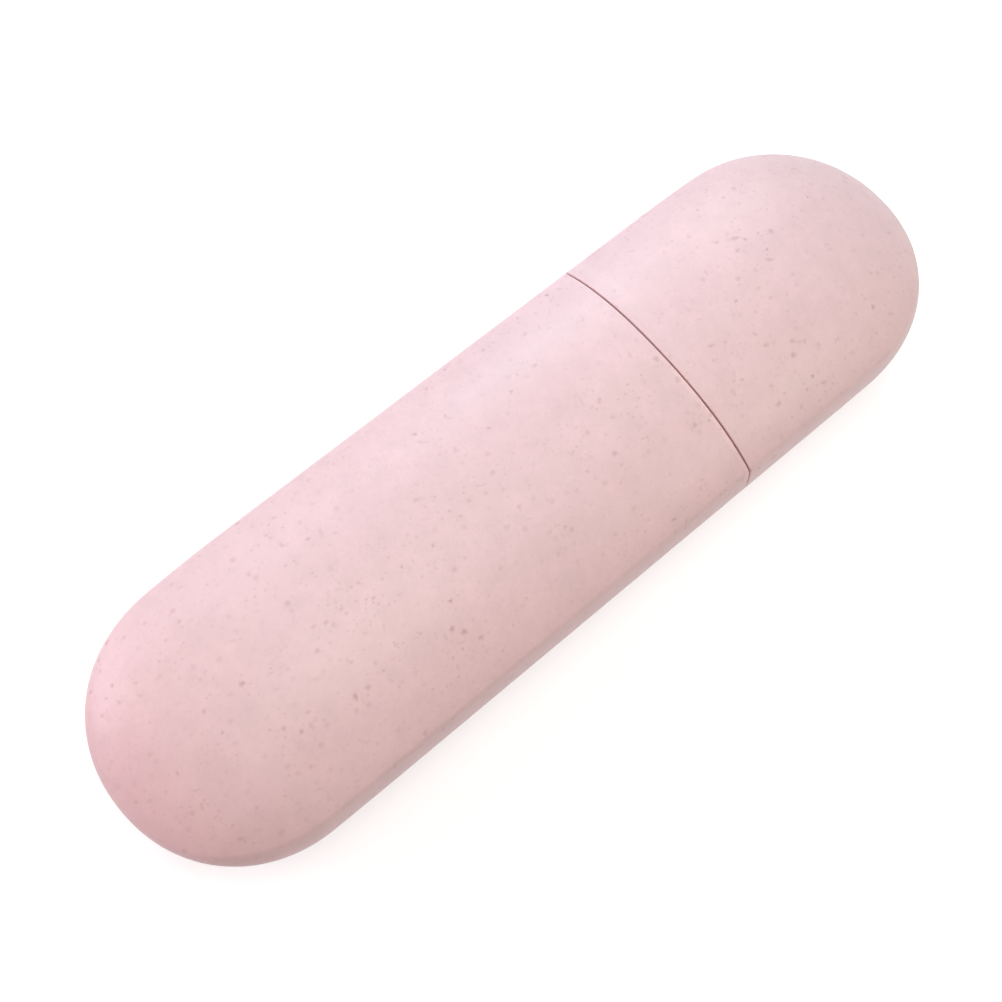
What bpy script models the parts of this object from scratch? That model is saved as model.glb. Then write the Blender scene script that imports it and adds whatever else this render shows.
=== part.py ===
# Travel toothbrush case: a long crowned body with a stepped neck, and a cap that pulls off along the case.
# Metres. +X runs towards the cap and +Z up. The origin is under the middle of the case, on what it lies on.

import math

import bmesh
import bpy
import numpy as np

MM = 0.001

# Outer form, with the case closed
LENGTH = 205.0 * MM
CREASE_HALF_WIDTH = 27.8 * MM   # from the middle to the crease between the broad face and the side
CREASE_HEIGHT = 8.0 * MM        # from the widest line up to that crease
CREASE_RADIUS = 2.5 * MM
SIDE_BULGE = 1.4 * MM           # how far the side swells past the crease
CROWN_RISE = 7.6 * MM           # how far the middle of a broad face stands above its creases
CROWN_FLATNESS = 0.31           # share of the crown's fall that follows the fourth power, not the square
REST_FLAT_DEPTH = 0.5 * MM      # how much the back is flattened, so that the case lies still

# Rounded ends: how far in from the tip the plan and the height start to close, and how full each curve is
BODY_PLAN_REACH = 29.0 * MM
BODY_PLAN_POWER = 2.1
CAP_PLAN_REACH = 32.5 * MM
CAP_PLAN_POWER = 2.05
HEIGHT_REACH = 46.0 * MM
HEIGHT_POWER = 1.7
CREASE_FADE_POWER = 2.0         # how late the creases fade on the way to a tip, which is a plain oval

# Seam between body and cap
BODY_LENGTH = 135.6 * MM        # from the body's tip to its shoulder
SEAM_GAP = 0.4 * MM
LIP_RADIUS = 0.35 * MM

# Neck, and the cap's skirt that slides over it
NECK_LENGTH = 11.0 * MM
NECK_WALL = 1.1 * MM
NECK_DRAFT = 0.1 * MM           # how much the neck draws in towards its end
NECK_CLEARANCE = 0.4 * MM       # all round, between neck and skirt
SKIRT_WALL = 1.0 * MM
SEAT_CLEARANCE = 0.5 * MM       # from the neck's end to the step inside the cap
LEAD_IN_LENGTH = 1.0 * MM
LEAD_IN_DEPTH = 0.45 * MM
MOUTH_CHAMFER = 0.25 * MM

# Snap bead round the neck, and the groove inside the skirt that it drops into
BEAD_FROM_SHOULDER = 4.0 * MM
BEAD_WIDTH = 1.8 * MM
BEAD_TOP_WIDTH = 0.7 * MM
BEAD_PASS_CLEARANCE = 0.1 * MM  # left between bead and skirt while the cap slides over it
BEAD_HEIGHT = NECK_CLEARANCE - BEAD_PASS_CLEARANCE
GROOVE_DEPTH = 0.3 * MM
GROOVE_END_CLEARANCE = 0.35 * MM

# Walls
CAP_WALL = 2.2 * MM
CAVITY_DRAFT = 0.3 * MM         # how much each wall thickens from its open to its closed end
BODY_WALL = SKIRT_WALL + NECK_CLEARANCE + NECK_WALL

# Places along the case, from its middle
BODY_TIP = -LENGTH / 2
CAP_TIP = LENGTH / 2
SHOULDER = BODY_TIP + BODY_LENGTH
CAP_LIP = SHOULDER + SEAM_GAP
NECK_END = SHOULDER + NECK_LENGTH
SKIRT_END = NECK_END + SEAT_CLEARANCE
BEAD_MIDDLE = SHOULDER + BEAD_FROM_SHOULDER
REST_TO_MIDDLE = CREASE_HEIGHT + CROWN_RISE - REST_FLAT_DEPTH

PLASTIC_COLOUR = (0.855, 0.631, 0.631)
PLASTIC_ROUGHNESS = 0.45

# Fineness of the mesh
CROWN_STEPS = 18
BACK_STEPS = 8
SIDE_STEPS = 8
CREASE_STEPS = 3
END_STEPS = 13
LIP_STEPS = 3
CREASE_ANGLE = math.radians(18)


def clear_scene():
    for old in list(bpy.data.objects):
        bpy.data.objects.remove(old, do_unlink=True)


def plastic(name):
    material = bpy.data.materials.new(name)
    material.use_nodes = True
    shader = material.node_tree.nodes["Principled BSDF"]
    shader.inputs["Base Color"].default_value = (*PLASTIC_COLOUR, 1.0)
    shader.inputs["Roughness"].default_value = PLASTIC_ROUGHNESS
    shader.inputs["Metallic"].default_value = 0.0
    return material


def crown_fall(share):
    """Fall of a broad face at a share of the way from its middle to its crease, from 0 to 1."""
    return (1 - CROWN_FLATNESS) * share**2 + CROWN_FLATNESS * share**4


def flat_share():
    """Share of the half width that the rest flat takes, where the crown has fallen by its depth."""
    square_part = 1 - CROWN_FLATNESS
    root = math.sqrt(square_part**2 + 4 * CROWN_FLATNESS * REST_FLAT_DEPTH / CROWN_RISE)
    return math.sqrt((root - square_part) / (2 * CROWN_FLATNESS))


def sharp_section():
    """Closed outline across the case, as y and z about its widest line, before its creases are rounded."""
    front = np.linspace(1, -1, CROWN_STEPS + 1)
    front_y = front * CREASE_HALF_WIDTH
    front_z = CREASE_HEIGHT + CROWN_RISE * (1 - crown_fall(front))

    rise = np.linspace(1, -1, SIDE_STEPS + 1)[1:-1]
    side_y = CREASE_HALF_WIDTH + SIDE_BULGE * (1 - rise**2)
    side_z = CREASE_HEIGHT * rise

    edge = flat_share()
    outside = np.linspace(1, edge, BACK_STEPS + 1)
    back = np.concatenate([-outside, [0], outside[::-1]])
    back_y = back * CREASE_HALF_WIDTH
    back_z = -np.minimum(CREASE_HEIGHT + CROWN_RISE * (1 - crown_fall(back)), REST_TO_MIDDLE)

    y = np.concatenate([front_y, -side_y, back_y, side_y])
    z = np.concatenate([front_z, side_z, back_z, -side_z])
    return np.stack([y, z], axis=1)


def inset_section(section, inset):
    """The outline moved inwards by the inset, square to each of its edges."""
    edge = np.roll(section, -1, axis=0) - section
    outward = np.stack([edge[:, 1], -edge[:, 0]], axis=1)
    outward /= np.linalg.norm(outward, axis=1, keepdims=True)
    before = np.roll(outward, 1, axis=0)
    spread = 1 + np.sum(outward * before, axis=1, keepdims=True)
    return section - inset * (outward + before) / spread


def crease_arc(before, corner, after):
    """Points of the arc that rounds a corner, tangent to the edges on both sides of it."""
    back = (before - corner) / np.linalg.norm(before - corner)
    onward = (after - corner) / np.linalg.norm(after - corner)
    half_angle = math.acos(back @ onward) / 2
    bisector = (back + onward) / np.linalg.norm(back + onward)
    across = (onward - back) / np.linalg.norm(onward - back)
    centre = corner + bisector * CREASE_RADIUS / math.sin(half_angle)
    turns = np.linspace(half_angle - math.pi / 2, math.pi / 2 - half_angle, CREASE_STEPS + 1)
    return [centre + CREASE_RADIUS * (across * math.sin(turn) - bisector * math.cos(turn)) for turn in turns]


def skin_section(inset):
    """Closed outline of the skin that lies an inset inside the outer one, with its creases rounded."""
    sharp = sharp_section()
    is_crease = np.isclose(np.abs(sharp[:, 0]), CREASE_HALF_WIDTH)
    moved = inset_section(sharp, inset)
    points = []
    for i, corner in enumerate(moved):
        if is_crease[i]:
            points += crease_arc(moved[i - 1], corner, moved[(i + 1) % len(moved)])
        else:
            points.append(corner)
    return points


def faded_section(inset, fade):
    """The skin's outline, each point moved by a share of its way along its ray to an oval of that size."""
    outline = np.array(skin_section(inset))
    half_width = CREASE_HALF_WIDTH + SIDE_BULGE - inset
    half_height = CREASE_HEIGHT + CROWN_RISE - inset
    to_oval = 1 / np.hypot(outline[:, 0] / half_width, outline[:, 1] / half_height)
    return outline * (1 + fade * (to_oval[:, np.newaxis] - 1))


def nearness(from_tip, reach):
    """0 from the reach on, 1 at the tip."""
    return min(max(1 - from_tip / reach, 0.0), 1.0)


def closing(share, power):
    """Scale of a section at a nearness to a tip, along a superellipse: 1 at 0, and 0 at 1."""
    return (1 - share**power) ** (1 / power)


def ring(x, inset):
    """Points round the case at x, on the skin that lies an inset inside the outer one."""
    from_body_tip = x - BODY_TIP - inset
    from_cap_tip = CAP_TIP - inset - x
    width = closing(nearness(from_body_tip, BODY_PLAN_REACH - inset), BODY_PLAN_POWER)
    width *= closing(nearness(from_cap_tip, CAP_PLAN_REACH - inset), CAP_PLAN_POWER)
    near = nearness(min(from_body_tip, from_cap_tip), HEIGHT_REACH - inset)
    height = closing(near, HEIGHT_POWER)
    return [(x, y * width, z * height) for y, z in faded_section(inset, near**CREASE_FADE_POWER)]


def end_stations(tip, inwards, reach, inset):
    """Stations of a rounded end, from just inside its tip to where its curves have opened fully."""
    angles = np.linspace(0, math.pi / 2, END_STEPS + 1)[1:]
    return [(tip + inwards * (inset + (reach - inset) * (1 - math.cos(angle))), inset) for angle in angles]


def lip_stations(face, inwards):
    """Stations of a rounded outer edge, from the skin to the end face."""
    angles = np.linspace(0, math.pi / 2, LIP_STEPS + 1)
    return [
        (face + inwards * LIP_RADIUS * (1 - math.sin(angle)), LIP_RADIUS * (1 - math.cos(angle)))
        for angle in angles
    ]


def neck_stations():
    """Stations of the neck's outside, from its root over the snap bead to its lead-in."""
    root = SKIRT_WALL + NECK_CLEARANCE

    def surface(x):
        return root + NECK_DRAFT * (x - SHOULDER) / NECK_LENGTH

    bead = [
        (BEAD_MIDDLE - BEAD_WIDTH / 2, 0.0),
        (BEAD_MIDDLE - BEAD_TOP_WIDTH / 2, BEAD_HEIGHT),
        (BEAD_MIDDLE + BEAD_TOP_WIDTH / 2, BEAD_HEIGHT),
        (BEAD_MIDDLE + BEAD_WIDTH / 2, 0.0),
    ]
    stations = [(SHOULDER, root)]
    stations += [(x, surface(x) - height) for x, height in bead]
    stations.append((NECK_END - LEAD_IN_LENGTH, surface(NECK_END - LEAD_IN_LENGTH)))
    stations.append((NECK_END, surface(NECK_END) + LEAD_IN_DEPTH))
    return stations


def skirt_stations():
    """Stations inside the cap's skirt, from its lip over the groove to the step that the neck stops at."""
    half_mouth = BEAD_WIDTH / 2 + GROOVE_END_CLEARANCE
    half_floor = BEAD_TOP_WIDTH / 2 + GROOVE_END_CLEARANCE
    floor = SKIRT_WALL - GROOVE_DEPTH
    return [
        (CAP_LIP, SKIRT_WALL - MOUTH_CHAMFER),
        (CAP_LIP + MOUTH_CHAMFER, SKIRT_WALL),
        (BEAD_MIDDLE - half_mouth, SKIRT_WALL),
        (BEAD_MIDDLE - half_floor, floor),
        (BEAD_MIDDLE + half_floor, floor),
        (BEAD_MIDDLE + half_mouth, SKIRT_WALL),
        (SKIRT_END, SKIRT_WALL),
    ]


def shell(name, material, origin_x, stations, outer_tip, inner_tip):
    """One walled piece: rings run down its outside, over its rim and back up its inside, to both tips."""
    bm = bmesh.new()
    rings = []
    for x, inset in stations:
        points = ring(x, inset)
        rings.append([bm.verts.new((px - origin_x, py, pz)) for px, py, pz in points])
    for near, far in zip(rings, rings[1:]):
        for i in range(len(near)):
            j = (i + 1) % len(near)
            bm.faces.new((near[i], near[j], far[j], far[i]))
    for tip, rim, turned in ((outer_tip, rings[0], True), (inner_tip, rings[-1], False)):
        pole = bm.verts.new((tip - origin_x, 0, 0))
        for i in range(len(rim)):
            j = (i + 1) % len(rim)
            corners = (rim[j], rim[i], pole) if turned else (rim[i], rim[j], pole)
            bm.faces.new(corners)
    bmesh.ops.recalc_face_normals(bm, faces=bm.faces)
    mesh = bpy.data.meshes.new(name)
    bm.to_mesh(mesh)
    bm.free()
    mesh.shade_smooth()
    mesh.set_sharp_from_angle(angle=CREASE_ANGLE)
    mesh.materials.append(material)
    piece = bpy.data.objects.new(name, mesh)
    bpy.context.scene.collection.objects.link(piece)
    return piece


def case_body(material):
    closed_wall = BODY_WALL + CAVITY_DRAFT
    reach = max(BODY_PLAN_REACH, HEIGHT_REACH)
    stations = end_stations(BODY_TIP, 1, reach, 0.0)
    stations += lip_stations(SHOULDER, -1)
    stations += neck_stations()
    stations.append((NECK_END, BODY_WALL - MOUTH_CHAMFER))
    stations.append((NECK_END - MOUTH_CHAMFER, BODY_WALL))
    stations += reversed(end_stations(BODY_TIP, 1, reach, closed_wall))
    piece = shell("case_body", material, 0.0, stations, BODY_TIP, BODY_TIP + closed_wall)
    piece.location = (0, 0, REST_TO_MIDDLE)
    return piece


def case_cap(material, body):
    closed_wall = CAP_WALL + CAVITY_DRAFT
    reach = max(CAP_PLAN_REACH, HEIGHT_REACH)
    stations = end_stations(CAP_TIP, -1, reach, 0.0)
    stations += lip_stations(CAP_LIP, 1)
    stations += skirt_stations()
    stations.append((SKIRT_END, CAP_WALL))
    stations += reversed(end_stations(CAP_TIP, -1, reach, closed_wall))
    piece = shell("case_cap", material, CAP_LIP, stations, CAP_TIP, CAP_TIP - closed_wall)
    piece.parent = body
    piece.location = (CAP_LIP, 0, 0)
    return piece


def main():
    clear_scene()
    body = case_body(plastic("body_plastic"))
    case_cap(plastic("cap_plastic"), body)


main()
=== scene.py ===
import math

import bpy
import numpy as np
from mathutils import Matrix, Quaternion, Vector


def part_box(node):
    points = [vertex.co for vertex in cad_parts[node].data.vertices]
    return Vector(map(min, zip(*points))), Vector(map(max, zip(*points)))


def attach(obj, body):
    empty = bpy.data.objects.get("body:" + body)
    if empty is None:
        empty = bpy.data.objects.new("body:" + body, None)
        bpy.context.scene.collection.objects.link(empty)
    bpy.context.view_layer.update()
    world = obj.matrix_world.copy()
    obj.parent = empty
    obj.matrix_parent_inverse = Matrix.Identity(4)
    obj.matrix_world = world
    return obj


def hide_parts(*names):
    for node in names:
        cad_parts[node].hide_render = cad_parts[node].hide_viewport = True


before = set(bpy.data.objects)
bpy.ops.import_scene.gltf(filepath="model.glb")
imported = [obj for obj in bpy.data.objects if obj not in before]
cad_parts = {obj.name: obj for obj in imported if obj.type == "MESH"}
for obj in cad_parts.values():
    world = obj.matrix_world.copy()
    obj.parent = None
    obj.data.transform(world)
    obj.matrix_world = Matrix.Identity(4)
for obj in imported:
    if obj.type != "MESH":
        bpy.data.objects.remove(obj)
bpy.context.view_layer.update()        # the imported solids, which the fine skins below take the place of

# Toothbrush case in speckled pink plastic: a long body with a neck, and a cap that pulls off it
bodyLow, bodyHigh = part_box("case_body")
capLow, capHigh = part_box("case_cap")
mm = 0.001

# The closed case, in metres. The section is drawn about its widest line, and its width and the places
# of its tips come from the frame.
caseForm = {
    "bodyTip": bodyLow.x,
    "capTip": capHigh.x,
    "halfWidth": bodyHigh.y,          # at the widest line
    "halfHeight": 15.6 * mm,          # from the widest line to the crown
    "sideBulge": 0.95 * mm,           # how far a side swells past its creases
    "creaseHeight": 7.6 * mm,         # from the widest line to a crease
    "creaseRadius": 2.3 * mm,
    "crownFlatness": 0.31,            # share of the crown's fall that follows the fourth power
    "restSoftness": 0.03 * mm,        # how softly the flat that it rests on meets the back
    "bodyPlanReach": 29.0 * mm,       # how far from the tip the plan starts to close
    "bodyPlanPower": 2.1,             # and how full its curve is
    "capPlanReach": 32.5 * mm,
    "capPlanPower": 2.05,
    "heightReach": 46.0 * mm,         # the same for the height, at both tips
    "heightPower": 1.7,
    "creaseFadePower": 2.0,           # how late the creases fade on the way to a tip
}
caseForm["middle"] = bodyHigh.z - caseForm["halfHeight"]
caseForm["creaseHalfWidth"] = caseForm["halfWidth"] - caseForm["sideBulge"]
caseForm["crownRise"] = caseForm["halfHeight"] - caseForm["creaseHeight"]

# Steps along one quarter of the section: over the crown, round the crease and down the side
sectionSteps = {"crown": 40, "crease": 10, "side": 14}


def crownAt(share, depth):
    # y is a share of the crease's half width, and z falls with that share's square and fourth power.
    # Both are moved in by the depth along the normal, whose angle comes third.
    rise, flatness = caseForm["crownRise"], caseForm["crownFlatness"]
    fall = (1 - flatness) * share**2 + flatness * share**4
    slope = -rise * (2 * (1 - flatness) * share + 4 * flatness * share**3) / caseForm["creaseHalfWidth"]
    length = np.hypot(1, slope)
    y = caseForm["creaseHalfWidth"] * share + depth * slope / length
    z = caseForm["halfHeight"] - rise * fall - depth / length
    return y, z, np.arctan2(1, -slope)


def sideAt(share, depth):
    # z is a share of the crease's height, and y swells with one less that share's square.
    # Both are moved in by the depth along the normal, whose angle comes third.
    lean = 2 * caseForm["sideBulge"] * share / caseForm["creaseHeight"]
    length = np.hypot(1, lean)
    y = caseForm["creaseHalfWidth"] + caseForm["sideBulge"] * (1 - share**2) - depth / length
    z = caseForm["creaseHeight"] * share - depth * lean / length
    return y, z, np.arctan(lean)


def creaseCentre(depth, tries=8, small=1e-4):
    # The two shares at which crown and side, both moved in by the depth, cross. Each try goes along the
    # two slopes to where straight lines would cross. A slope is a difference over a small change.
    crown = np.ones_like(depth)
    side = np.ones_like(depth)
    for _ in range(tries):
        y, z, _ = crownAt(crown, depth)
        sideY, sideZ, _ = sideAt(side, depth)
        crownDy, crownDz = (np.array(crownAt(crown + small, depth)[:2]) - (y, z)) / small
        sideDy, sideDz = (np.array(sideAt(side + small, depth)[:2]) - (sideY, sideZ)) / small
        missY, missZ = sideY - y, sideZ - z
        spread = sideDy * crownDz - crownDy * sideDz
        crown = crown + (missZ * sideDy - missY * sideDz) / spread
        side = side + (crownDy * missZ - crownDz * missY) / spread
    return crown, side


def quarterSection(inset):
    # From the crown's top to the widest line: crown, arc about the crossing one radius further in, side
    radius = caseForm["creaseRadius"]
    crown, side = creaseCentre(inset + radius)
    centreY, centreZ, crownAngle = crownAt(crown, inset + radius)
    sideAngle = sideAt(side, inset + radius)[2]
    crownY, crownZ, _ = crownAt(crown * np.linspace(0, 1, sectionSteps["crown"] + 1), inset)
    angle = crownAngle + (sideAngle - crownAngle) * np.linspace(0, 1, sectionSteps["crease"] + 1)[1:-1]
    sideY, sideZ, _ = sideAt(side * np.linspace(1, 0, sectionSteps["side"] + 1), inset)
    y = np.concatenate([crownY, centreY + radius * np.cos(angle), sideY], axis=1)
    z = np.concatenate([crownZ, centreZ + radius * np.sin(angle), sideZ], axis=1)
    return y, z


def wholeSection(inset):
    # The quarter, its mirror below with the rest flat cut by a soft minimum, and both mirrored across
    y, z = quarterSection(inset)
    soft = caseForm["restSoftness"]
    flat = caseForm["middle"] - inset
    low = flat - soft * np.logaddexp(0, (flat - z) / soft)
    y = np.concatenate([y, y[:, -2::-1]], axis=1)
    z = np.concatenate([z, -low[:, -2::-1]], axis=1)
    return np.concatenate([y, -y[:, -2:0:-1]], axis=1), np.concatenate([z, z[:, -2:0:-1]], axis=1)


def nearness(fromTip, reach):
    # 1 at the tip, and straight down to 0 at the reach and beyond it
    return np.clip(1 - fromTip / reach, 0, 1)


def closing(share, power):
    # A superellipse, the root of one less the share's power: full size at a share of 0, nothing at 1
    return (1 - share**power) ** (1 / power)


def skinRings(x, inset, swell):
    # Rings round the case at each x, on the skin an inset in. The section is scaled across and in height
    # by superellipses of the way to the tips, and drawn along its rays towards an oval as it gets there.
    # A swell lifts the skin along the same rays, with the square root of the height: fully at the crown,
    # and not at all from the widest line down.
    x, inset, swell = (value[:, None] for value in (x, inset, swell))
    fromBody = x - caseForm["bodyTip"] - inset
    fromCap = caseForm["capTip"] - inset - x
    bodyNear = nearness(fromBody, caseForm["bodyPlanReach"] - inset)
    capNear = nearness(fromCap, caseForm["capPlanReach"] - inset)
    width = closing(bodyNear, caseForm["bodyPlanPower"]) * closing(capNear, caseForm["capPlanPower"])
    near = nearness(np.minimum(fromBody, fromCap), caseForm["heightReach"] - inset)
    height = closing(near, caseForm["heightPower"])
    y, z = wholeSection(inset)
    toOval = 1 / np.hypot(y / (caseForm["halfWidth"] - inset), z / (caseForm["halfHeight"] - inset))
    drawn = 1 + near ** caseForm["creaseFadePower"] * (toOval - 1)
    upper = np.clip(z / caseForm["halfHeight"], 0, 1) ** 0.5
    grown = 1 + swell * upper / np.hypot(y, z)
    y, z = y * drawn * width * grown, z * drawn * height * grown
    return np.stack([np.broadcast_to(x, y.shape), y, z + caseForm["middle"]], axis=2)


def roundedEnd(tip, inwards, inset, steps):
    # Stations from just inside a tip to where its curves have opened fully. Their way from the tip goes
    # with one less the cosine of equal steps of angle, so they stand close together there.
    reach = caseForm["heightReach"] - inset
    angle = np.linspace(0, math.pi / 2, steps + 1)[1:]
    x = tip + inwards * (inset + reach * (1 - np.cos(angle)))
    return np.stack([x, np.full_like(x, inset)], axis=1)


def roundedPath(corners, steps=4, margin=0.03 * mm):
    # A path of x and inset through corners, which have a radius except at its two ends. Each arc touches
    # both edges, about a centre on their bisector, and a point a margin beside each end of it keeps the
    # shading of the flats flat.
    points = [np.array(corners[0][:2])]
    for before, corner, after in zip(corners, corners[1:], corners[2:]):
        here = np.array(corner[:2])
        radius = corner[2]
        back = np.array(before[:2]) - here
        onward = np.array(after[:2]) - here
        back /= np.linalg.norm(back)
        onward /= np.linalg.norm(onward)
        half = math.acos(np.clip(back @ onward, -1, 1)) / 2
        bisector = (back + onward) / np.linalg.norm(back + onward)
        across = (onward - back) / np.linalg.norm(onward - back)
        turn = np.linspace(half - math.pi / 2, math.pi / 2 - half, steps + 1)[:, None]
        arc = radius * (across * np.sin(turn) - bisector * np.cos(turn))
        arc = arc + here + bisector * radius / math.sin(half)
        beside = radius / math.tan(half) + margin
        points += [here + back * beside, *arc, here + onward * beside]
    points.append(np.array(corners[-1][:2]))
    return np.array(points)


def buildShell(name, stations, swell, outerTip, innerTip, material, sharpDegrees=40):
    # One closed skin: rings from the outer tip over the rim to the inner tip, with a fan at each tip.
    # Where faces turn by more than the sharp angle, the shading keeps their edge.
    rings = skinRings(stations[:, 0], stations[:, 1], swell)
    count, around = rings.shape[:2]
    middle = caseForm["middle"]
    points = np.concatenate([rings.reshape(-1, 3), [[outerTip, 0, middle], [innerTip, 0, middle]]])
    ring = np.arange(count - 1)[:, None] * around
    following = ring + around
    here = np.arange(around)[None]
    beside = (here + 1) % around
    corners = [ring + here, ring + beside, following + beside, following + here]
    quads = np.stack(corners, axis=2).reshape(-1, 4)
    last = (count - 1) * around
    fans = np.concatenate([
        np.stack([beside[0], here[0], np.full(around, count * around)], axis=1),
        np.stack([last + here[0], last + beside[0], np.full(around, count * around + 1)], axis=1),
    ])
    if outerTip < innerTip:     # the outer rings run towards +X, so the faces are turned round
        quads, fans = quads[:, ::-1], fans[:, ::-1]
    mesh = bpy.data.meshes.new(name)
    mesh.from_pydata(points.tolist(), [], quads.tolist() + fans.tolist())
    mesh.shade_smooth()
    mesh.set_sharp_from_angle(angle=math.radians(sharpDegrees))
    mesh.materials.append(material)
    piece = bpy.data.objects.new(name, mesh)
    bpy.context.scene.collection.objects.link(piece)
    size = (points.max(axis=0) - points.min(axis=0)) / mm
    print(name, len(quads) * 2 + len(fans), "triangles,", size.round(2), "mm")
    return piece


def nodeGroup(name, inputs, outputs):
    # An empty shader group with named sockets. An input comes as its name, kind and starting value
    group = bpy.data.node_groups.new(name, "ShaderNodeTree")
    for socket, kind, value in inputs:
        made = group.interface.new_socket(name=socket, in_out="INPUT", socket_type=kind)
        if value is not None:
            made.default_value = value
    for socket, kind in outputs:
        group.interface.new_socket(name=socket, in_out="OUTPUT", socket_type=kind)
    return group


def addNode(tree, kind, place, **settings):
    node = tree.nodes.new(kind)
    node.location = place
    for key, value in settings.items():
        setattr(node, key, value)
    return node


def mathNode(tree, operation, place, first, second=None, third=None, clamp=False):
    # A Math node: each operand is a number or another node's socket
    node = addNode(tree, "ShaderNodeMath", place, operation=operation, use_clamp=clamp)
    for socket, value in zip(node.inputs, (first, second, third)):
        if isinstance(value, bpy.types.NodeSocket):
            tree.links.new(value, socket)
        elif value is not None:
            socket.default_value = value
    return node.outputs[0]


def gatherNode(tree, operation, place, soFar, socket):
    # A Math node of what is gathered so far and one socket more. The first socket stands alone
    if soFar is None:
        return socket
    return mathNode(tree, operation, place, soFar, socket)


def tintNode(tree, place, amount, colour, tint):
    # The colour multiplied by a tint, as far as the amount says: not at 0, fully at 1
    node = addNode(tree, "ShaderNodeMix", place, data_type="RGBA", blend_type="MULTIPLY")
    tree.links.new(amount, node.inputs["Factor"])
    tree.links.new(colour, node.inputs["A"])
    node.inputs["B"].default_value = (*tint, 1)
    return node.outputs["Result"]


def spreadNode(tree, place, value, middle, spread):
    # A value from 0 to 1 becomes one that lies round the middle, over the width of the spread
    node = addNode(tree, "ShaderNodeMapRange", place)
    node.inputs["To Min"].default_value = middle - spread / 2
    node.inputs["To Max"].default_value = middle + spread / 2
    tree.links.new(value, node.inputs["Value"])
    return node.outputs[0]


# The form of a fleck, where one spacing of its layer is the unit of length
fleckForm = {
    "raggedScale": 3.0,       # how fine the waver of its outline is
    "raggedDetail": 1.0,
    "raggedShift": 0.35,      # and how far it moves the outline
    "smallest": 0.3,          # the smallest fleck's share of the layer's radius
    "core": 0.1,              # the share of its own radius in which a fleck is full
}


def strawFleckGroup():
    # Flecks are balls round scattered points, stretched along one axis. A share of the points has one,
    # each with a size and a tone of its own.
    group = nodeGroup(
        "strawFlecks",
        [
            ("Position", "NodeSocketVector", None),
            ("Spacing", "NodeSocketFloat", 1.2 * mm),
            ("Share", "NodeSocketFloat", 0.2),
            ("Radius", "NodeSocketFloat", 0.3),
            ("Stretch", "NodeSocketVector", (1, 1, 1)),
            ("Turn", "NodeSocketVector", (0, 0, 0)),
        ],
        [("Mask", "NodeSocketFloat"), ("Tone", "NodeSocketFloat")],
    )
    source = addNode(group, "NodeGroupInput", (-1000, 0))
    turned = addNode(group, "ShaderNodeVectorRotate", (-800, 100), rotation_type="EULER_XYZ")
    group.links.new(source.outputs["Position"], turned.inputs["Vector"])
    group.links.new(source.outputs["Turn"], turned.inputs["Rotation"])
    squeezed = addNode(group, "ShaderNodeVectorMath", (-600, 100), operation="DIVIDE")
    group.links.new(turned.outputs[0], squeezed.inputs[0])
    group.links.new(source.outputs["Stretch"], squeezed.inputs[1])
    inCells = addNode(group, "ShaderNodeVectorMath", (-400, 100), operation="SCALE")
    group.links.new(squeezed.outputs[0], inCells.inputs[0])
    perMetre = mathNode(group, "DIVIDE", (-600, -100), 1.0, source.outputs["Spacing"])
    group.links.new(perMetre, inCells.inputs["Scale"])
    ragged = addNode(group, "ShaderNodeTexNoise", (-400, 320), noise_dimensions="3D")
    ragged.inputs["Scale"].default_value = fleckForm["raggedScale"]
    ragged.inputs["Detail"].default_value = fleckForm["raggedDetail"]
    group.links.new(inCells.outputs[0], ragged.inputs["Vector"])
    shift = addNode(group, "ShaderNodeVectorMath", (-200, 320), operation="MULTIPLY_ADD")
    group.links.new(ragged.outputs["Color"], shift.inputs[0])
    shift.inputs[1].default_value = [fleckForm["raggedShift"]] * 3
    group.links.new(inCells.outputs[0], shift.inputs[2])
    points = addNode(group, "ShaderNodeTexVoronoi", (0, 200), voronoi_dimensions="3D", feature="F1")
    points.inputs["Scale"].default_value = 1.0
    group.links.new(shift.outputs[0], points.inputs["Vector"])
    chance = addNode(group, "ShaderNodeSeparateColor", (200, 50))
    group.links.new(points.outputs["Color"], chance.inputs[0])
    there = mathNode(group, "LESS_THAN", (400, -100), chance.outputs["Red"], source.outputs["Share"])
    smallest = fleckForm["smallest"]
    sized = mathNode(group, "MULTIPLY_ADD", (400, 60), chance.outputs["Green"], 1 - smallest, smallest)
    outer = mathNode(group, "MULTIPLY", (560, 60), sized, source.outputs["Radius"])
    inner = mathNode(group, "MULTIPLY", (720, -20), outer, fleckForm["core"])
    edge = addNode(group, "ShaderNodeMapRange", (880, 160), interpolation_type="SMOOTHSTEP")
    group.links.new(points.outputs["Distance"], edge.inputs["Value"])
    group.links.new(outer, edge.inputs["From Min"])
    group.links.new(inner, edge.inputs["From Max"])
    mask = mathNode(group, "MULTIPLY", (1060, 60), edge.outputs[0], there)
    result = addNode(group, "NodeGroupOutput", (1240, 0))
    group.links.new(mask, result.inputs["Mask"])
    group.links.new(chance.outputs["Blue"], result.inputs["Tone"])
    return group


# The flow of the melt
meltForm = {
    "size": 12 * mm,          # of a swirl, across the case
    "lengthwaysScale": 0.45,  # of the swirls: the less, the longer they are along the case
    "swirlDetail": 3.0,
    "swirlDistortion": 0.8,
    "cloudScale": 2.0,        # clouds are this much finer than swirls
    "cloudDetail": 4.0,
    "cloudRoughness": 0.8,    # how much of its strength each finer octave keeps
    "cloudSlice": 3.7,        # the place on the noise's fourth axis
}


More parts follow.
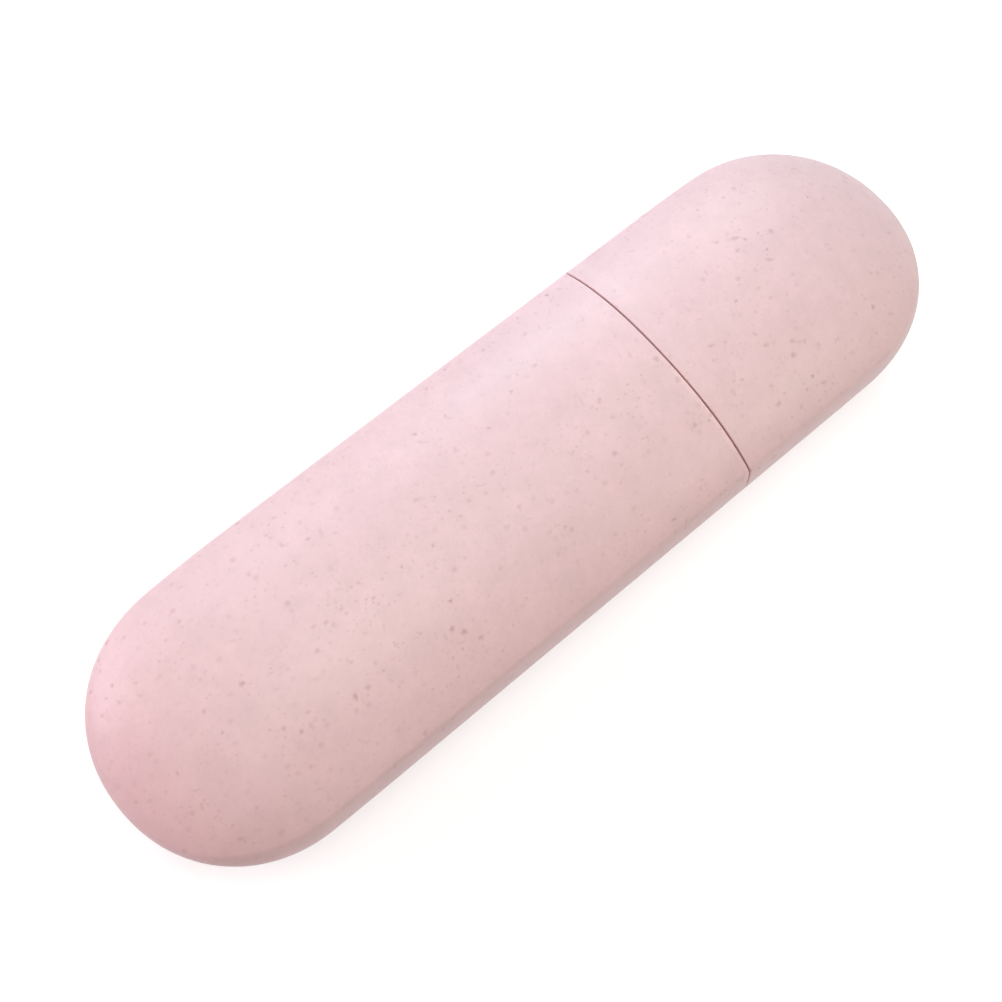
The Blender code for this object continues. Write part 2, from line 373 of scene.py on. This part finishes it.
def meltFlowGroup():
    # Slow swirls of the melt along the case: a warped noise, 0 to 1. The clouding beside it is another
    # noise, in octaves that hardly weaken.
    group = nodeGroup(
        "meltFlow",
        [("Position", "NodeSocketVector", None), ("Size", "NodeSocketFloat", meltForm["size"])],
        [("Swirl", "NodeSocketFloat"), ("Cloud", "NodeSocketFloat")],
    )
    source = addNode(group, "NodeGroupInput", (-800, 0))
    perMetre = mathNode(group, "DIVIDE", (-620, -140), 1.0, source.outputs["Size"])
    scaled = addNode(group, "ShaderNodeVectorMath", (-440, 0), operation="SCALE")
    group.links.new(source.outputs["Position"], scaled.inputs[0])
    group.links.new(perMetre, scaled.inputs["Scale"])
    drawnOut = addNode(group, "ShaderNodeVectorMath", (-260, 0), operation="MULTIPLY")
    group.links.new(scaled.outputs[0], drawnOut.inputs[0])
    drawnOut.inputs[1].default_value = (meltForm["lengthwaysScale"], 1, 1)
    swirl = addNode(group, "ShaderNodeTexNoise", (-60, 120), noise_dimensions="3D")
    swirl.inputs["Scale"].default_value = 1.0
    swirl.inputs["Detail"].default_value = meltForm["swirlDetail"]
    swirl.inputs["Distortion"].default_value = meltForm["swirlDistortion"]
    group.links.new(drawnOut.outputs[0], swirl.inputs["Vector"])
    cloud = addNode(group, "ShaderNodeTexNoise", (-60, -160), noise_dimensions="4D")
    cloud.inputs["W"].default_value = meltForm["cloudSlice"]
    cloud.inputs["Scale"].default_value = meltForm["cloudScale"]
    cloud.inputs["Detail"].default_value = meltForm["cloudDetail"]
    cloud.inputs["Roughness"].default_value = meltForm["cloudRoughness"]
    group.links.new(scaled.outputs[0], cloud.inputs["Vector"])
    result = addNode(group, "NodeGroupOutput", (160, 0))
    group.links.new(swirl.outputs[0], result.inputs["Swirl"])
    group.links.new(cloud.outputs[0], result.inputs["Cloud"])
    return group


# The satin of the mould
grainForm = {
    "detail": 2.0,
    "fleckDepth": 0.6,        # how much lower a full fleck lies, as a share of the grain's height
}


def mouldGrainGroup():
    # A fine noise as a height, 0 to 1, in which the flecks lie a little lower
    group = nodeGroup(
        "mouldGrain",
        [
            ("Position", "NodeSocketVector", None),
            ("Size", "NodeSocketFloat", 0.2 * mm),
            ("Flecks", "NodeSocketFloat", 0),
            ("Fleck Depth", "NodeSocketFloat", grainForm["fleckDepth"]),
        ],
        [("Height", "NodeSocketFloat")],
    )
    source = addNode(group, "NodeGroupInput", (-600, 0))
    perMetre = mathNode(group, "DIVIDE", (-400, -100), 1.0, source.outputs["Size"])
    grain = addNode(group, "ShaderNodeTexNoise", (-200, 100), noise_dimensions="3D")
    grain.inputs["Detail"].default_value = grainForm["detail"]
    group.links.new(source.outputs["Position"], grain.inputs["Vector"])
    group.links.new(perMetre, grain.inputs["Scale"])
    depth = source.outputs["Fleck Depth"]
    sunk = mathNode(group, "MULTIPLY", (-200, -200), source.outputs["Flecks"], depth)
    height = mathNode(group, "SUBTRACT", (0, 0), grain.outputs[0], sunk)
    result = addNode(group, "NodeGroupOutput", (200, 0))
    group.links.new(height, result.inputs["Height"])
    return group


def caseZoneGroup():
    # How far a place lies along a direction: 0 before From, 1 past To, eased between. Where To is the
    # lower of the two, it is 1 below To and 0 above From.
    group = nodeGroup(
        "caseZone",
        [
            ("Position", "NodeSocketVector", None),
            ("Direction", "NodeSocketVector", (1, 0, 0)),
            ("From", "NodeSocketFloat", 0),
            ("To", "NodeSocketFloat", 1),
        ],
        [("Mask", "NodeSocketFloat")],
    )
    source = addNode(group, "NodeGroupInput", (-500, 0))
    along = addNode(group, "ShaderNodeVectorMath", (-300, 100), operation="DOT_PRODUCT")
    group.links.new(source.outputs["Position"], along.inputs[0])
    group.links.new(source.outputs["Direction"], along.inputs[1])
    eased = addNode(group, "ShaderNodeMapRange", (-100, 0), interpolation_type="SMOOTHSTEP")
    group.links.new(along.outputs["Value"], eased.inputs["Value"])
    group.links.new(source.outputs["From"], eased.inputs["From Min"])
    group.links.new(source.outputs["To"], eased.inputs["From Max"])
    result = addNode(group, "NodeGroupOutput", (100, 0))
    group.links.new(eased.outputs[0], result.inputs["Mask"])
    return group


# The plastic: pink, satin, filled with ground straw. Colours are linear, sizes in metres
plasticLook = {
    "pink": (0.862, 0.602, 0.618),
    "warmPink": (0.850, 0.600, 0.592),
    "cloudContrast": 0.27,
    "roughness": 0.40,
    "roughnessSpread": 0.05,
    "grainSize": 0.22 * mm,
    "grainHeight": 0.0015 * mm,
    "fleckTint": (0.59, 0.42, 0.42),   # what a full fleck multiplies the pink by
    "faintest": 0.15,                  # a faintest fleck's share of its layer's strength
    # How the swirls gather the flecks: a range of swirl, and the shares of a fleck's strength at its ends
    "fleckDrift": {"From Min": 0.4, "From Max": 0.6, "To Min": 0.6, "To Max": 1.35},
    # Each layer of flecks: spacing, share of the points that have one, radius in spacings, stretch,
    # turn in degrees, strength, and how rare the strong ones are
    "flecks": [
        (1.15 * mm, 0.70, 0.48, (1, 1, 1), (0, 0, 0), 0.30, 1),
        (2.0 * mm, 0.80, 0.48, (1.2, 1, 1), (20, 35, 10), 0.48, 2),
        (2.2 * mm, 0.40, 0.32, (3.0, 1, 1), (0, 10, 25), 0.40, 2),
        (2.2 * mm, 0.40, 0.32, (3.0, 1, 1), (10, -15, 110), 0.40, 2),
        (2.8 * mm, 0.34, 0.25, (1.3, 1, 1), (50, 0, 70), 0.80, 3),
    ],
}


def strawPlastic(name, shift, zones):
    # The pink goes to a warmer pink with the swirls, and the clouds shade it. Each zone of the case tints
    # it with painted shade or a painted highlight, and then each layer of flecks is multiplied in. The
    # swirls also gather the flecks.
    look = plasticLook
    material = bpy.data.materials.new(name)
    material.use_nodes = True
    tree = material.node_tree
    shader = tree.nodes["Principled BSDF"]
    shader.location = (2150, 0)
    tree.nodes["Material Output"].location = (2450, 0)
    place = addNode(tree, "ShaderNodeTexCoord", (-1400, 0))
    shifted = addNode(tree, "ShaderNodeMapping", (-1200, 0))
    shifted.inputs["Location"].default_value = shift
    tree.links.new(place.outputs["Object"], shifted.inputs["Vector"])
    position = shifted.outputs[0]

    swirls = addNode(tree, "ShaderNodeGroup", (-900, 300), node_tree=meltFlow)
    tree.links.new(position, swirls.inputs["Position"])
    pinks = addNode(tree, "ShaderNodeMix", (-600, 300), data_type="RGBA")
    pinks.inputs["A"].default_value = (*look["pink"], 1)
    pinks.inputs["B"].default_value = (*look["warmPink"], 1)
    tree.links.new(swirls.outputs["Swirl"], pinks.inputs["Factor"])
    shade = spreadNode(tree, (-600, 60), swirls.outputs["Cloud"], 1, look["cloudContrast"])
    tinted = addNode(tree, "ShaderNodeMix", (-400, 300), data_type="RGBA", blend_type="MULTIPLY")
    tinted.inputs["Factor"].default_value = 1
    tree.links.new(pinks.outputs["Result"], tinted.inputs["A"])
    tree.links.new(shade, tinted.inputs["B"])
    colour = tinted.outputs["Result"]
    drift = addNode(tree, "ShaderNodeMapRange", (-600, -200))
    for socket, value in look["fleckDrift"].items():
        drift.inputs[socket].default_value = value
    tree.links.new(swirls.outputs["Swirl"], drift.inputs["Value"])
    gathering = drift.outputs[0]

    for number, (tint, ends) in enumerate(zones):
        column = -400 + 300 * number
        mask = None
        for direction, start, end in ends:
            zone = addNode(tree, "ShaderNodeGroup", (column, 600), node_tree=caseZone)
            tree.links.new(place.outputs["Object"], zone.inputs["Position"])
            zone.inputs["Direction"].default_value = direction
            zone.inputs["From"].default_value = start
            zone.inputs["To"].default_value = end
            mask = gatherNode(tree, "MULTIPLY", (column + 150, 600), mask, zone.outputs["Mask"])
        colour = tintNode(tree, (column + 150, 450), mask, colour, tint)

    everyFleck = None
    for number, (spacing, share, radius, stretch, turn, strength, rarity) in enumerate(look["flecks"]):
        column = 150 + 300 * number
        flecks = addNode(tree, "ShaderNodeGroup", (column, -300), node_tree=strawFlecks)
        tree.links.new(position, flecks.inputs["Position"])
        flecks.inputs["Spacing"].default_value = spacing
        flecks.inputs["Share"].default_value = share
        flecks.inputs["Radius"].default_value = radius
        flecks.inputs["Stretch"].default_value = stretch
        flecks.inputs["Turn"].default_value = [math.radians(angle) for angle in turn]
        rare = mathNode(tree, "POWER", (column, -200), flecks.outputs["Tone"], rarity)
        faintest = look["faintest"] * strength
        spread = (1 - look["faintest"]) * strength
        tone = mathNode(tree, "MULTIPLY_ADD", (column, -100), rare, spread, faintest)
        shown = mathNode(tree, "MULTIPLY", (column + 150, -200), flecks.outputs["Mask"], gathering)
        amount = mathNode(tree, "MULTIPLY", (column + 150, -100), shown, tone)
        colour = tintNode(tree, (column + 150, 300), amount, colour, look["fleckTint"])
        everyFleck = gatherNode(tree, "MAXIMUM", (column + 150, -500), everyFleck, amount)
    tree.links.new(colour, shader.inputs["Base Color"])

    clouds = swirls.outputs["Cloud"]
    rough = spreadNode(tree, (1750, 60), clouds, look["roughness"], look["roughnessSpread"])
    tree.links.new(rough, shader.inputs["Roughness"])

    grain = addNode(tree, "ShaderNodeGroup", (1750, -300), node_tree=mouldGrain)
    grain.inputs["Size"].default_value = look["grainSize"]
    tree.links.new(position, grain.inputs["Position"])
    tree.links.new(everyFleck, grain.inputs["Flecks"])
    bump = addNode(tree, "ShaderNodeBump", (1950, -300))
    bump.inputs["Strength"].default_value = 1.0
    bump.inputs["Distance"].default_value = look["grainHeight"]
    tree.links.new(grain.outputs["Height"], bump.inputs["Height"])
    tree.links.new(bump.outputs[0], shader.inputs["Normal"])
    return material


# Where the two halves meet. Insets are measured in from the outer skin
joinForm = {
    "seamGap": 0.34 * mm,
    "lipRadius": 0.28 * mm,
    "skirtWall": 1.0 * mm,
    "neckClearance": 0.4 * mm,        # between neck and skirt, all round
    "neckWall": 1.1 * mm,
    "neckDraft": 0.1 * mm,            # how much the neck draws in towards its end
    "leadInLength": 1.0 * mm,
    "leadInDepth": 0.45 * mm,
    "leadInRadius": 0.2 * mm,
    "mouthChamfer": 0.25 * mm,
    "mouthRadius": 0.05 * mm,
    "seatClearance": 0.5 * mm,        # from the neck's end to the step inside the cap
    "beadFromShoulder": 4.0 * mm,     # to the bead's middle
    "beadWidth": 1.8 * mm,
    "beadTopWidth": 0.7 * mm,
    "beadHeight": 0.3 * mm,
    "beadRadius": 0.3 * mm,           # of the edges of bead and groove
    "grooveDepth": 0.3 * mm,
    "grooveEndClearance": 0.35 * mm,  # how much longer the groove is than the bead, at each end
    "smallRadius": 0.1 * mm,          # of every other edge
}
joinForm["rimReach"] = 4 * joinForm["lipRadius"]        # from a lip to where its rounded path starts
joinForm["ringReach"] = 5 * joinForm["lipRadius"]       # and to where the rings before that path end
joinForm["mouthReach"] = 4 * joinForm["mouthChamfer"]   # from the neck's end to where its path ends
joinForm["stepReach"] = 4 * joinForm["smallRadius"]     # from the step in the cap to where its path ends
capLip = capLow.x
shoulder = capLip - joinForm["seamGap"]
neckEnd = bodyHigh.x
beadMiddle = shoulder + joinForm["beadFromShoulder"]

bodyForm = {
    "cavityDraft": 0.3 * mm,          # how much thicker the wall is at the closed end
    "straightStep": 2.5 * mm,         # between rings where the outside is straight
    "endSteps": 60,                   # rings of the closed end, outside
    "innerEndSteps": 30,              # and inside
    "patternShift": (0, 0, 0),
    "endShadeLength": 27.0 * mm,         # painted shade: the pink is deeper and darker towards the closed end
    "endShadeTint": (1.02, 0.93, 0.94),
    "lipLightReach": 0.45 * mm,           # the neck and the lip's edge are paler: a painted highlight on the lip and painted light in the seam
    "lipLightTint": (1.06, 1.12, 1.11),
    "lipHighlightBand": (1.1 * mm, 0.7 * mm),  # before the shoulder: where a paler band, a painted highlight, starts and is full
    "lipHighlightAcross": (8 * mm, -6 * mm),  # it fades in over these y
    "lipHighlightTint": (1.08, 1.06, 1.06),
}
bodyForm["wall"] = joinForm["skirtWall"] + joinForm["neckClearance"] + joinForm["neckWall"]


def bodyStations():
    # Outer end, straight, lip, shoulder, neck with its bead and lead-in, mouth, and the cavity to its
    # end, where each station is an x and an inset
    join, small = joinForm, joinForm["smallRadius"]
    root = join["skirtWall"] + join["neckClearance"]
    closed = bodyForm["wall"] + bodyForm["cavityDraft"]
    opened = caseForm["bodyTip"] + caseForm["heightReach"]

    def neckSkin(x):
        return root + join["neckDraft"] * (x - shoulder) / (neckEnd - shoulder)

    leadIn = neckEnd - join["leadInLength"]
    halfBead, halfTop = join["beadWidth"] / 2, join["beadTopWidth"] / 2
    beadTop = neckSkin(beadMiddle) - join["beadHeight"]
    rim = roundedPath([
        (shoulder - join["rimReach"], 0),
        (shoulder, 0, join["lipRadius"]),
        (shoulder, root, small),
        (beadMiddle - halfBead, neckSkin(beadMiddle - halfBead), join["beadRadius"]),
        (beadMiddle - halfTop, beadTop, join["beadRadius"]),
        (beadMiddle + halfTop, beadTop, join["beadRadius"]),
        (beadMiddle + halfBead, neckSkin(beadMiddle + halfBead), join["beadRadius"]),
        (leadIn, neckSkin(leadIn), join["leadInRadius"]),
        (neckEnd, neckSkin(neckEnd) + join["leadInDepth"], small),
        (neckEnd, bodyForm["wall"] - join["mouthChamfer"], join["mouthRadius"]),
        (neckEnd - join["mouthChamfer"], bodyForm["wall"], small),
        (neckEnd - join["mouthReach"], bodyForm["wall"]),
    ])
    straight = np.arange(opened, shoulder - join["ringReach"], bodyForm["straightStep"])[1:]
    return np.concatenate([
        roundedEnd(caseForm["bodyTip"], 1, 0, bodyForm["endSteps"]),
        np.stack([straight, np.zeros_like(straight)], axis=1),
        rim,
        roundedEnd(caseForm["bodyTip"], 1, closed, bodyForm["innerEndSteps"])[::-1],
    ])


capForm = {
    "wall": 2.2 * mm,
    "cavityDraft": 0.3 * mm,          # how much thicker the wall is at the closed end
    "straightStep": 2.5 * mm,
    "endSteps": 60,
    "innerEndSteps": 30,
    "patternShift": (31 * mm, 47 * mm, 13 * mm),   # so that its flecks don't repeat the body's
    "witnessHeight": 0.004 * mm,      # the bead's groove shows through as a faint swell
    "witnessWidth": 1.3 * mm,
    "witnessStep": 0.3 * mm,          # between the fine rings that carry the swell
    "witnessReach": 2.5 * mm,         # from the bead's middle to where those rings start
    "straightEnd": 3.0 * mm,          # and to where the wide steps end
    # From the lip: where a paler band, a painted highlight, starts, is full, is full no more, and ends
    "capHighlightBand": (1.2 * mm, 2.6 * mm, 3.2 * mm, 5.0 * mm),
    "capHighlightAcross": (-8 * mm, 2 * mm),  # it fades in over these y
    "capHighlightTint": (1.02, 1.035, 1.035),
}


def capStations():
    # The same for the cap, from its tip: outer skin, lip, mouth, skirt with its groove, step, and cavity
    join, small = joinForm, joinForm["smallRadius"]
    skirt = join["skirtWall"]
    skirtEnd = neckEnd + join["seatClearance"]
    closed = capForm["wall"] + capForm["cavityDraft"]
    opened = caseForm["capTip"] - caseForm["heightReach"]
    halfMouth = join["beadWidth"] / 2 + join["grooveEndClearance"]
    halfFloor = join["beadTopWidth"] / 2 + join["grooveEndClearance"]
    floor = skirt - join["grooveDepth"]
    rim = roundedPath([
        (capLip + join["rimReach"], 0),
        (capLip, 0, join["lipRadius"]),
        (capLip, skirt - join["mouthChamfer"], small),
        (capLip + join["mouthChamfer"], skirt, small),
        (beadMiddle - halfMouth, skirt, join["beadRadius"]),
        (beadMiddle - halfFloor, floor, join["beadRadius"]),
        (beadMiddle + halfFloor, floor, join["beadRadius"]),
        (beadMiddle + halfMouth, skirt, join["beadRadius"]),
        (skirtEnd, skirt, small),
        (skirtEnd, capForm["wall"], small),
        (skirtEnd + join["stepReach"], capForm["wall"]),
    ])
    wideEnd = beadMiddle + capForm["straightEnd"]
    fineStart = beadMiddle + capForm["witnessReach"]
    straight = np.concatenate([
        np.arange(opened, wideEnd, -capForm["straightStep"])[1:],
        np.arange(fineStart, capLip + join["ringReach"], -capForm["witnessStep"]),
    ])
    return np.concatenate([
        roundedEnd(caseForm["capTip"], -1, 0, capForm["endSteps"]),
        np.stack([straight, np.zeros_like(straight)], axis=1),
        rim,
        roundedEnd(caseForm["capTip"], -1, closed, capForm["innerEndSteps"])[::-1],
    ])


def witnessSwell(stations):
    # A bell curve of the distance along the case from the bead, on the outer skin alone
    away = (stations[:, 0] - beadMiddle) / capForm["witnessWidth"]
    return np.where(stations[:, 1] == 0, capForm["witnessHeight"] * np.exp(-away**2), 0)


strawFlecks = strawFleckGroup()
meltFlow = meltFlowGroup()
mouldGrain = mouldGrainGroup()
caseZone = caseZoneGroup()
lengthways = (1, 0, 0)
crossways = (0, 1, 0)
endShadeStart = caseForm["bodyTip"] + bodyForm["endShadeLength"]
lipLightStart = shoulder - bodyForm["lipLightReach"]
lipHighlightStart, lipHighlightFull = (shoulder - before for before in bodyForm["lipHighlightBand"])
bodyPlastic = strawPlastic("bodyPlastic", bodyForm["patternShift"], [
    # painted shade: deeper, darker pink towards the body's closed end
    (bodyForm["endShadeTint"], [(lengthways, endShadeStart, caseForm["bodyTip"])]),
    # painted highlight: a paler band before the lip, stronger towards -Y
    (bodyForm["lipHighlightTint"], [(lengthways, lipHighlightStart, lipHighlightFull), (crossways, *bodyForm["lipHighlightAcross"])]),
    # painted highlight on the lip's edge and painted light in the seam, over the neck
    (bodyForm["lipLightTint"], [(lengthways, lipLightStart, lipLightStart + bodyForm["lipLightReach"] / 2)]),
])
capHighlightStart, capHighlightFull, capHighlightEnding, capHighlightEnd = (capLip + along for along in capForm["capHighlightBand"])
capPlastic = strawPlastic("capPlastic", capForm["patternShift"], [
    # painted highlight: a paler band on the cap beyond the lip, stronger towards +Y
    (capForm["capHighlightTint"], [
        (lengthways, capHighlightStart, capHighlightFull),
        (lengthways, capHighlightEnd, capHighlightEnding),
        (crossways, *capForm["capHighlightAcross"]),
    ]),
])
print("materials ready")

stations = bodyStations()
body = buildShell(
    "bodyShell", stations, np.zeros(len(stations)),
    caseForm["bodyTip"], caseForm["bodyTip"] + bodyForm["wall"] + bodyForm["cavityDraft"], bodyPlastic,
)
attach(body, "body")
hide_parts("case_body")

stations = capStations()
cap = buildShell(
    "capShell", stations, witnessSwell(stations),
    caseForm["capTip"], caseForm["capTip"] - capForm["wall"] - capForm["cavityDraft"], capPlastic,
)
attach(cap, "cap")
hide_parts("case_cap")
print("case ready")


# The room: a white floor that takes the shadow, a white surround for the camera, soft lamps
studio = {
    "floorHalf": 3.0,                 # metres from the middle to an edge
    "floorColour": (0.76, 0.76, 0.77),
    "floorRoughness": 0.9,
    # Rays from the camera and from mirrors get this glow added, so that they find the floor white.
    # It grows to 1 between two distances from the middle, where less of the lamps' light falls.
    "floorGlow": 0.56,
    "fullGlow": {"From Min": 0.3, "From Max": 1.0},
    # What the walls give the object. Rays from the camera and from mirrors find them white
    "surround": (0.03, 0.03, 0.03),
    # Each lamp: name, x that it aims at, elevation and azimuth from +X in degrees, distance, size,
    # watts and colour
    "lamps": [
        ("overhead", 0, 90, 0, 1.0, 0.6, 3.14, (1.00, 1.00, 0.94)),
        ("rearOverhead", 0, 60, 90, 1.0, 0.6, 0.68, (0.94, 1.00, 0.84)),
        ("frontSide", 0, 42, 270, 1.0, 0.6, 2.10, (1.00, 0.79, 0.75)),
        ("rearSide", 0, 35, 90, 1.0, 0.6, 1.68, (0.76, 0.87, 1.00)),
        ("rearCapSide", 0, 35, 45, 1.0, 0.6, 2.60, (0.84, 0.93, 1.00)),
        ("rearBodySide", 0, 35, 135, 1.0, 0.6, 1.23, (1.00, 0.80, 0.71)),
        ("rearBodyLow", 0, 12, 135, 1.0, 0.6, 3.90, (0.90, 0.85, 1.00)),
        ("capFront", 0.060, 45, 300, 0.3, 0.12, 0.135, (0.90, 1.00, 0.91)),
        ("capShoulder", 0.043, 38, 80, 0.2, 0.08, 0.060, (0.40, 0.70, 1.00)),
    ],
}


def seesWhite(tree, column):
    # 1 for a ray from the camera, a mirror or through glass, which should find a white room
    path = addNode(tree, "ShaderNodeLightPath", (column, 0))
    camera, glossy = path.outputs["Is Camera Ray"], path.outputs["Is Glossy Ray"]
    mirrored = mathNode(tree, "ADD", (column + 200, 0), camera, glossy)
    glass = path.outputs["Is Transmission Ray"]
    return mathNode(tree, "ADD", (column + 400, 0), mirrored, glass, clamp=True)


def makeFloor():
    half = studio["floorHalf"]
    mesh = bpy.data.meshes.new("floor")
    corners = [(-half, -half, 0), (half, -half, 0), (half, half, 0), (-half, half, 0)]
    mesh.from_pydata(corners, [], [(0, 1, 2, 3)])
    material = bpy.data.materials.new("floorPaper")
    material.use_nodes = True
    tree = material.node_tree
    shader = tree.nodes["Principled BSDF"]
    shader.inputs["Base Color"].default_value = (*studio["floorColour"], 1)
    shader.inputs["Roughness"].default_value = studio["floorRoughness"]
    shader.inputs["Specular IOR Level"].default_value = 0.0
    shader.inputs["Emission Color"].default_value = (1, 1, 1, 1)
    place = addNode(tree, "ShaderNodeTexCoord", (-1000, -300))
    away = addNode(tree, "ShaderNodeVectorMath", (-800, -300), operation="LENGTH")
    tree.links.new(place.outputs["Object"], away.inputs[0])
    strength = addNode(tree, "ShaderNodeMapRange", (-600, -300), interpolation_type="SMOOTHSTEP")
    tree.links.new(away.outputs["Value"], strength.inputs["Value"])
    for socket, value in studio["fullGlow"].items():
        strength.inputs[socket].default_value = value
    strength.inputs["To Min"].default_value = studio["floorGlow"]
    glow = mathNode(tree, "MULTIPLY", (-200, -200), seesWhite(tree, -800), strength.outputs[0])
    tree.links.new(glow, shader.inputs["Emission Strength"])
    mesh.materials.append(material)
    floor = bpy.data.objects.new("floor", mesh)
    bpy.context.scene.collection.objects.link(floor)


def makeWorld():
    world = bpy.data.worlds.new("studioRoom")
    bpy.context.scene.world = world
    world.use_nodes = True
    tree = world.node_tree
    background = tree.nodes["Background"]
    colour = addNode(tree, "ShaderNodeMix", (-250, 0), data_type="RGBA")
    tree.links.new(seesWhite(tree, -900), colour.inputs["Factor"])
    colour.inputs["A"].default_value = (*studio["surround"], 1)
    colour.inputs["B"].default_value = (1, 1, 1, 1)
    tree.links.new(colour.outputs["Result"], background.inputs["Color"])


def makeLamps():
    for name, aim, elevation, azimuth, distance, size, watts, colour in studio["lamps"]:
        lamp = bpy.data.lights.new(name, "AREA")
        lamp.shape = "DISK"
        lamp.size = size
        lamp.energy = watts
        lamp.color = colour
        up, turn = math.radians(elevation), math.radians(azimuth)
        outwards = Vector((math.cos(up) * math.cos(turn), math.cos(up) * math.sin(turn), math.sin(up)))
        holder = bpy.data.objects.new(name, lamp)
        holder.location = Vector((aim, 0, caseForm["middle"])) + distance * outwards
        holder.rotation_euler = (-outwards).to_track_quat("-Z", "Y").to_euler()
        holder.visible_camera = False
        bpy.context.scene.collection.objects.link(holder)


makeFloor()
makeWorld()
makeLamps()

# The photograph's view: steeply down along the case, with the camera turned about its own axis
photoView = {
    "eye": (-85.43 * mm, -60.12 * mm, 310.14 * mm),
    "aim": (-3.68 * mm, 3.40 * mm, 0),
    "rollDegrees": 12.247,
    "lens": 55.155,                   # this and the sensor's width are in millimetres
    "sensorWidth": 36,
    "clipStart": 10 * mm,
}


def makeCamera():
    camera = bpy.data.cameras.new("photoCamera")
    camera.lens = photoView["lens"]
    camera.sensor_width = photoView["sensorWidth"]
    camera.clip_start = photoView["clipStart"]
    holder = bpy.data.objects.new("photoCamera", camera)
    eye = Vector(photoView["eye"])
    upright = (Vector(photoView["aim"]) - eye).to_track_quat("-Z", "Y")
    holder.rotation_mode = "QUATERNION"
    holder.rotation_quaternion = upright @ Quaternion((0, 0, 1), math.radians(photoView["rollDegrees"]))
    holder.location = eye
    bpy.context.scene.collection.objects.link(holder)
    bpy.context.scene.camera = holder


makeCamera()
bpy.context.scene.view_settings.view_transform = "Standard"
print("studio ready")
